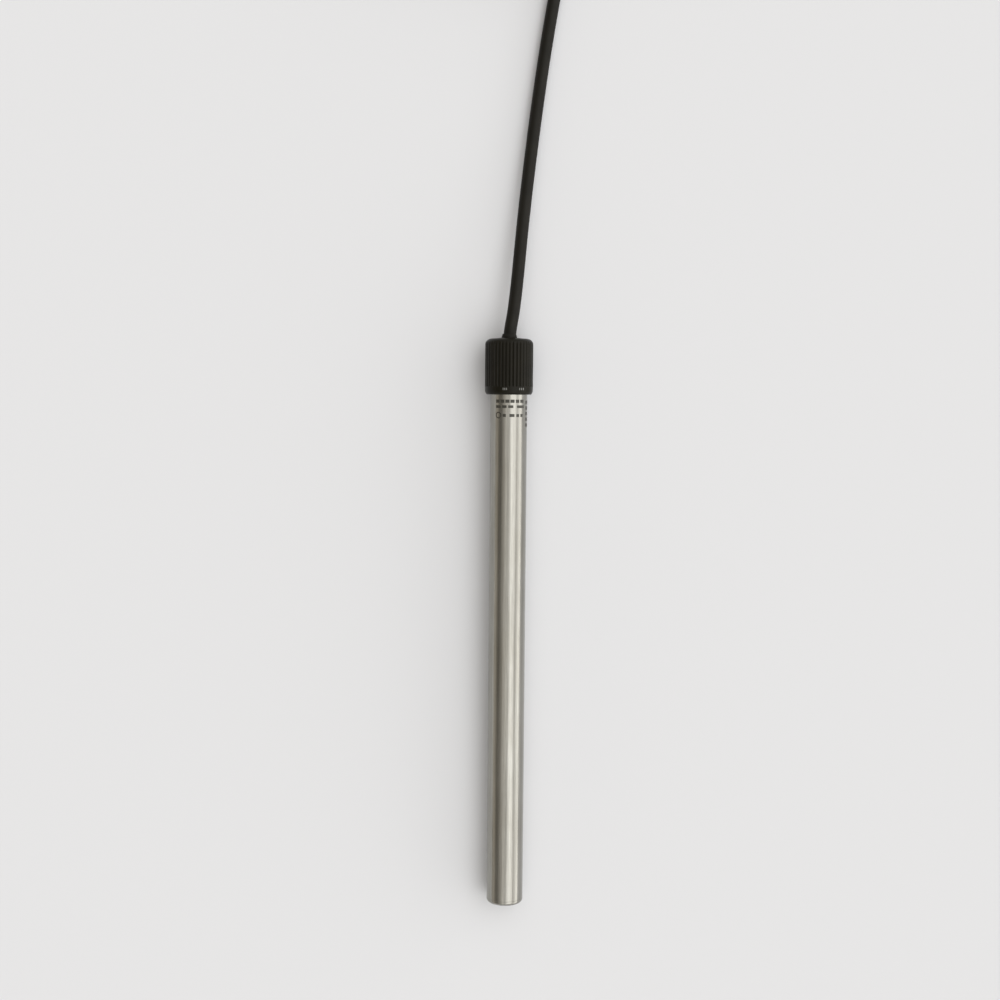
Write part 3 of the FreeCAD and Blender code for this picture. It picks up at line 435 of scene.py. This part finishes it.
def finished(name, form, sharp):
    """Turns a bmesh in millimetres into a mesh in metres, smooth but for its sharp edges."""
    bmesh.ops.recalc_face_normals(form, faces=form.faces)
    bmesh.ops.scale(form, vec=(0.001, 0.001, 0.001), verts=form.verts)
    mesh = bpy.data.meshes.new(name)
    form.to_mesh(mesh)
    form.free()
    mesh.shade_smooth()
    mesh.set_sharp_from_angle(angle=math.radians(sharp))
    return mesh


def arc(centre, radius, start, end, steps=6):
    """Outline points on an arc, its angles in degrees from the radius towards the station."""
    turns = [math.radians(start + (end - start) * number / steps) for number in range(steps + 1)]
    return [(centre[0] + radius * math.cos(turn), centre[1] + radius * math.sin(turn)) for turn in turns]


# ---------------------------------------------------------------- strap round the coil


def round_the_bundle(half, corner):
    """Points and outward directions on a rounded square round two by two turns.

    They start at its foot and go anticlockwise.
    """
    steps = 8
    inset = half - corner
    loop = []
    for side in range(4):
        start = -90 + 90 * side
        quarter = math.radians(start + 45)
        right = math.copysign(inset, math.cos(quarter))
        up = math.copysign(inset, math.sin(quarter))
        for number in range(steps + 1):
            turn = math.radians(start + 90 * number / steps)
            outwards = Vector((math.cos(turn), 0, math.sin(turn)))
            loop.append((Vector((right, 0, up)) + outwards * corner, outwards))
    return loop


def band(form, loop, width, under, over, closed):
    """A flat strap with bevelled edges that follows a loop, from one height above it to another."""
    bevel = 0.3
    side, flat = width / 2, width / 2 - bevel
    section = [(under, -flat), (under, flat), (under + bevel, side), (over - bevel, side)]
    section += [(over, flat), (over, -flat), (over - bevel, -side), (under + bevel, -side)]
    rows = []
    for point, outwards in loop:
        places = [point + outwards * height + Vector((0, across, 0)) for height, across in section]
        rows.append([form.verts.new(place) for place in places])
    pairs = zip(rows, rows[1:] + rows[:1]) if closed else zip(rows, rows[1:])
    for here, after in pairs:
        for number in range(len(section)):
            beside = (number + 1) % len(section)
            form.faces.new((here[number], after[number], after[beside], here[beside]))
    if not closed:
        form.faces.new(rows[0])
        form.faces.new(rows[-1][::-1])


def make_strap():
    """A woven strap with a soft hook-and-loop end that overlaps its upper side."""
    thickness, clearance, corner = 1.1, 0.1, 5.4
    half = (TIE_HIGH.z - TIE_LOW.z) * 1000 / 2 - thickness - clearance
    loop = round_the_bundle(half, corner)
    overlap = loop[11:24]
    form = bmesh.new()
    band(form, loop, 8.0, 0.0, thickness, closed=True)
    band(form, overlap, 7.4, thickness + 0.02, thickness + 0.85, closed=False)
    place = Matrix.Translation((TIE_LOW + TIE_HIGH) / 2)
    made = piece("strap", finished("strap", form, 40), "heater", "tie_strap", place)
    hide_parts("cord_tie")
    return made


strap = make_strap()


# ---------------------------------------------------------------- the heater's own visible pieces
# Outlines are (radius, station) in millimetres. A station is the distance from the heater's tip, or on the
# plug from the mouth of its boot.

TUBE_WALL = 15.0
CAP_CREST = 19.6
CAP_RIBS = 40
LEAD_BORE = 5.15


def make_tube():
    """The drawn tube and its welded end, with a fine seam between them."""
    joint, seam = 4.0, 0.12
    end_plug = [(0, 0)] + arc((12.0, 3.0), 3.0, -90, 0, 10)
    end_plug += [(TUBE_WALL, joint - seam), (TUBE_WALL - seam, joint), (13.95, joint)]
    end_plug += [(13.95, 9.0), (12.4, 9.0), (12.4, 3.0), (0, 3.0)]
    made = piece("end_plug", lathe("end_plug", end_plug), "heater", "titanium", HEATER)
    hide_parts("tube_end_plug")
    length, steps = 419.0, 12
    tube = [(14.0, joint), (TUBE_WALL - seam, joint), (TUBE_WALL, joint + seam)]
    tube += [(TUBE_WALL, joint + length * number / steps) for number in range(1, steps + 1)]
    tube += [(14.6, 423.0), (14.6, 425.4), (TUBE_WALL, 425.4), (TUBE_WALL, 446.2), (14.0, 446.2)]
    made = piece("tube", lathe("tube", tube), "heater", "titanium", HEATER)
    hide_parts("titanium_tube")


def rib_groove(radius, station, turn):
    """Cuts the grooves between the cap's ribs, which run out in a scoop above its smooth lower band."""
    uncut, depth, half_width = 17.5, 0.75, 0.95
    if radius < uncut:
        return radius
    pitch = 2 * math.pi / CAP_RIBS
    across = abs((turn + pitch / 2) % pitch - pitch / 2) * CAP_CREST
    hollow = 0.5 + 0.5 * math.cos(math.pi * min(1.0, across / half_width))
    return min(radius, CAP_CREST - depth * hollow * eased(station, 428.8, 430.4))


def make_cap():
    """The screw cap: smooth band at its foot, ribs above it, round shoulder, hollow inside."""
    outline = [(17.4, 423.0), (17.7, 423.0), (18.15, 423.15), (18.6, 423.55), (19.0, 424.2)]
    outline += [(19.33, 425.1), (19.53, 426.1), (CAP_CREST, 427.1)]
    scoop = (428.4, 428.9, 429.3, 429.6, 429.9, 430.2, 430.6, 431.2, 432.2)
    outline += [(CAP_CREST, station) for station in scoop]
    outline += [(CAP_CREST, scoop[-1] + 31.1 * number / 6) for number in range(1, 7)]
    outline += arc((14.6, 463.3), 5.0, 8, 90, 12) + [(10.0, 468.7), (7.2, 469.0), (6.75, 468.8)]
    outline += [(7.0, 465.9), (10.0, 457.5), (16.8, 457.5), (16.8, 455.1), (16.0, 455.1), (16.0, 451.6)]
    outline += [(17.1, 451.6), (17.1, 431.8), (17.4, 431.8)]
    mesh = lathe("cap", outline, segments=CAP_RIBS * 18, shaped=rib_groove, sharp=50)
    made = piece("cap", mesh, "screw_cap", "cap_plastic", HEATER)
    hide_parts("screw_cap")


def make_grommet():
    """The rubber gland that the lead leaves through, flared where it meets the cap."""
    outline = [(LEAD_BORE, 451.7), (14.0, 451.7), (14.0, 455.1), (10.5, 455.1), (6.55, 465.6)]
    outline += [(6.35, 469.05), (6.25, 469.8), (6.0, 470.7), (5.7, 471.5), (5.4, 472.1), (5.25, 472.2)]
    outline += [(LEAD_BORE, 471.6), (LEAD_BORE, 461.0)]
    made = piece("grommet", lathe("grommet", outline, sharp=40), "heater", "seal_rubber", HEATER)
    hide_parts("cord_grommet")


def make_boot():
    """The plug's tapered boot with four soft bend-relief grooves, open for the lead."""
    length, mouth, taper, rounding = 26.0, 6.9, 1.5, 0.45
    grooves, depth = 4, 0.9
    middles = [length * (place + 0.5) / (grooves + 0.5) for place in range(grooves)]
    outline = [(LEAD_BORE, 0.25), (LEAD_BORE + 0.2, 0)]
    steps = 104
    for number in range(steps + 1):
        station = length * number / steps
        skin = mouth + taper * number / steps - rounding * (1 - eased(station, 0, 0.6))
        nearest = min(abs(station - middle) for middle in middles)
        outline.append((skin - depth * (1 - eased(nearest, 0.5, 1.25)), station))
    outline += [(0, length), (0, 14.0), (LEAD_BORE, 14.0)]
    mesh = lathe("boot", outline, segments=96, sharp=50)
    mesh.transform(PLUG)
    made = piece("boot", mesh, "heater", "boot_rubber")
    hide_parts("plug_boot")
    return made


def plug_shape(radius, station, turn):
    """Flats for the earth strips above and below, and finger grooves across both sides of the grip."""
    flat, depth = 16.4, 0.55
    on_head = station > 46.9 and radius > 16
    on_grip = 31.0 < station < 46.0 and radius > 12.2
    if on_head:
        return min(radius, flat / max(0.1, abs(math.cos(turn))))
    if on_grip:
        nearest = min(abs(station - place) for place in (33.6, 36.2, 38.8, 41.4, 44.0))
        sides = eased(abs(math.sin(turn)), 0.5, 0.75)
        return radius - depth * sides * (1 - eased(nearest, 0.25, 0.95))
    return radius


def make_plug():
    """The plug's moulded body: neck, grip, and a broad head with a recess for the pin carrier."""
    neck = [(0, 26.05), (8.9, 26.05), (9.35, 26.2), (9.6, 26.6), (9.9, 27.2)]
    neck += [(10.7, 28.1), (11.7, 29.2), (12.3, 30.2)]
    steps = 64
    grip = [(12.4 + number / steps, 30.6 + 16.0 * number / steps) for number in range(steps + 1)]
    head = [(13.6, 46.85), (14.1, 47.1), (15.3, 47.7), (16.6, 48.35), (17.6, 48.95), (18.15, 49.45)]
    head += arc((17.8, 50.1), 0.6, -30, 0, 2) + [(18.4, 53.0), (18.4, 56.0)]
    head += arc((17.2, 58.8), 1.2, 0, 90, 8) + [(15.0, 60.0), (14.45, 59.8)]
    recess = [(14.45, 57.45), (12.0, 57.45), (12.0, 47.9), (0, 47.9)]
    outline = neck + grip + head + recess
    mesh = lathe("plug", outline, segments=144, shaped=plug_shape, sharp=32)
    mesh.transform(PLUG)
    made = piece("plug", mesh, "heater", "plug_plastic")
    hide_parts("plug_body")
    return made


make_tube()
make_cap()
make_grommet()
on_lead = [strap, make_boot(), make_plug()]
for node in ("plug_pin_carrier", "plug_live_pin", "plug_neutral_pin", "plug_earth_strips"):
    on_lead.append(frame["nodes"][node])


# ---------------------------------------------------------------- print on the tube, painted glints on the cap


def printed_strip(form, first_edge, second_edge, radius=TUBE_WALL, closed=False):
    """A thin closed patch on a round wall between two lines of (millimetres around, station) points."""
    sunk, raised = 0.02, 0.03
    rows = []
    for edge in (first_edge, second_edge):
        for reach in (radius - sunk, radius + raised):
            row = []
            for around, station in edge:
                turn = around / radius
                row.append(form.verts.new((reach * math.cos(turn), reach * math.sin(turn), station)))
            rows.append(row)
    first_under, first_over, second_under, second_over = rows
    loop = (first_under, first_over, second_over, second_under)
    count = len(first_edge)
    for number in range(count if closed else count - 1):
        after = (number + 1) % count
        for here, beside in zip(loop, loop[1:] + loop[:1]):
            form.faces.new((here[number], here[after], beside[after], beside[number]))
    if not closed:
        form.faces.new([row[0] for row in loop])
        form.faces.new([row[-1] for row in reversed(loop)])


def bar(form, start, end, low, high, radius=TUBE_WALL):
    """A bar of print from one angle to another, in degrees from the top towards the picture's right."""
    steps = max(2, round((end - start) / 4))
    angles = [start + (end - start) * number / steps for number in range(steps + 1)]
    around = [math.radians(angle) * radius for angle in angles]
    printed_strip(form, [(place, low) for place in around], [(place, high) for place in around], radius)


def ring_mark(form, angle, station, outer, line):
    """A printed ring on the tube, with the radius of its outer edge and the width of its line."""
    steps = 32
    turns = [2 * math.pi * number / steps for number in range(steps)]
    directions = [(math.cos(turn), math.sin(turn)) for turn in turns]
    middle = math.radians(angle) * TUBE_WALL
    edges = []
    for radius in (outer, outer - line):
        edges.append([(middle + radius * across, station + radius * along) for across, along in directions])
    printed_strip(form, *edges, closed=True)


MARKING_INK = moulded("marking_ink", (0.030, 0.028, 0.020), 0.45, grain=3000)
# a pale grey for the ticks on the cap's band: painted highlight, glints at the rib ends painted on
PAINTED_GLINT = moulded("painted_glint_grey", (0.16, 0.16, 0.15), 0.5, grain=3000)
# each line's lower and upper station and the start and end of its bars
PRINTED_LINES = [
    (416.4, 419.0, ((-43, -30), (-27, -14), (-11, 2), (5, 18), (22, 34), (38, 52))),
    (412.2, 414.4, ((-43, -26), (-21, -7), (-2, 14), (26, 54))),
    (405.0, 407.4, ((-19, -9), (2, 18), (24, 34), (39, 48))),
]
SIDE_BLOCK = (417.0, 412.4, 407.8, 403.2, 398.6)
# angles round the cap, in degrees, of the pale ticks that paint glints on its band
GLINT_ANGLES = (-14, -10, -6, 26, 31, 36)


def make_print():
    """Generic marks where a heater carries its rating: three lines of bars, a ring and a side block."""
    form = bmesh.new()
    for low, high, bars in PRINTED_LINES:
        for start, end in bars:
            bar(form, start, end, low, high)
    ring_mark(form, -34, 406.4, 2.7, 0.9)
    for station in SIDE_BLOCK:
        bar(form, 64, 112, station - 1.5, station + 1.2)
    made = piece("rating_marks", finished("rating_marks", form, 40), "heater", "cap_plastic", HEATER)
    made.data.materials[0] = MARKING_INK


def make_cap_painted_glints():
    """Two groups of small pale ticks on the cap's smooth band: painted glints, where the rib ends would catch the
    light.
    """
    half = 0.9
    form = bmesh.new()
    for angle in GLINT_ANGLES:
        bar(form, angle - half, angle + half, 426.7, 428.5, radius=CAP_CREST)
    made = piece("cap_painted_glints", finished("cap_painted_glints", form, 40), "screw_cap", "cap_plastic", HEATER)
    made.data.materials[0] = PAINTED_GLINT


make_print()
make_cap_painted_glints()


# ---------------------------------------------------------------- floor, light and background


FLOOR_COLOUR = (0.660, 0.667, 0.685)
FLOOR_SIZE = 40.0
SKY_STRENGTH = 2.37
# the plain tone of the sky's ends, and where along the heater's axis it starts and is complete
ENDS_TONE = 0.34
ENDS_START, ENDS_COMPLETE = 0.6, 0.9
# degrees from straight up towards the picture's right, brightness, warmth
SKY = [
    (-110, 0.30, 0.10),
    (-88, 0.28, 0.16),
    (-74, 0.275, 0.20),
    (-60, 0.095, 0.20),
    (-44, 0.13, 0.16),
    (-25, 0.32, 0.12),
    (-14, 0.47, 0.08),
    (7, 0.46, 0.06),
    (18, 0.95, 0.02),
    (38, 1.0, 0.02),
    (54, 0.46, 0.05),
    (74, 1.0, 0.03),
    (94, 1.0, 0.04),
    (110, 0.55, 0.06),
]


def make_floor():
    """A plain pale surface that reaches the horizon of every view."""
    form = bmesh.new()
    bmesh.ops.create_grid(form, x_segments=1, y_segments=1, size=FLOOR_SIZE)
    mesh = bpy.data.meshes.new("floor")
    form.to_mesh(mesh)
    form.free()
    floor = bpy.data.objects.new("floor", mesh)
    bpy.context.scene.collection.objects.link(floor)
    floor.data.materials.append(Shader("floor", FLOOR_COLOUR, 0.9).material)


def make_background():
    """A studio sky that changes only around the heater's axis, so that the tube mirrors long even bands.

    Towards the two ends of that axis, where the bands would meet, it is one plain tone.
    """
    world = bpy.data.worlds.new("studio")
    bpy.context.scene.world = world
    world.use_nodes = True
    sky = Nodes(world.node_tree)
    direction = sky.node("ShaderNodeTexCoord")
    parts = sky.node("ShaderNodeSeparateXYZ")
    sky.link(direction.outputs["Generated"], parts.inputs["Vector"])
    rightwards = sky.math_node("MULTIPLY", parts.outputs["Y"], -1.0)
    angle = sky.math_node("ARCTAN2", rightwards, parts.outputs["Z"])
    stops = []
    for degrees, brightness, warmth in SKY:
        # warmth takes blue away, and less of the green
        tone = (brightness, brightness * (1 - 0.4 * warmth), brightness * (1 - warmth))
        stops.append((0.5 + degrees / 360, tone))
    bands = sky.colours(sky.between(angle, -math.pi, math.pi, 0.0, 1.0), stops)
    endways = sky.math_node("ABSOLUTE", parts.outputs["X"])
    plainness = sky.between(endways, ENDS_START, ENDS_COMPLETE, 0.0, 1.0, smooth=True)
    mixed = sky.node("ShaderNodeMix", data_type="RGBA")
    sky.link(plainness, mixed.inputs["Factor"])
    sky.link(bands, mixed.inputs["A"])
    mixed.inputs["B"].default_value = (ENDS_TONE, ENDS_TONE, ENDS_TONE, 1.0)
    background = sky.tree.nodes["Background"]
    sky.link(mixed.outputs["Result"], background.inputs["Color"])
    background.inputs["Strength"].default_value = SKY_STRENGTH


make_floor()
make_background()
bpy.context.scene.view_settings.view_transform = "Standard"
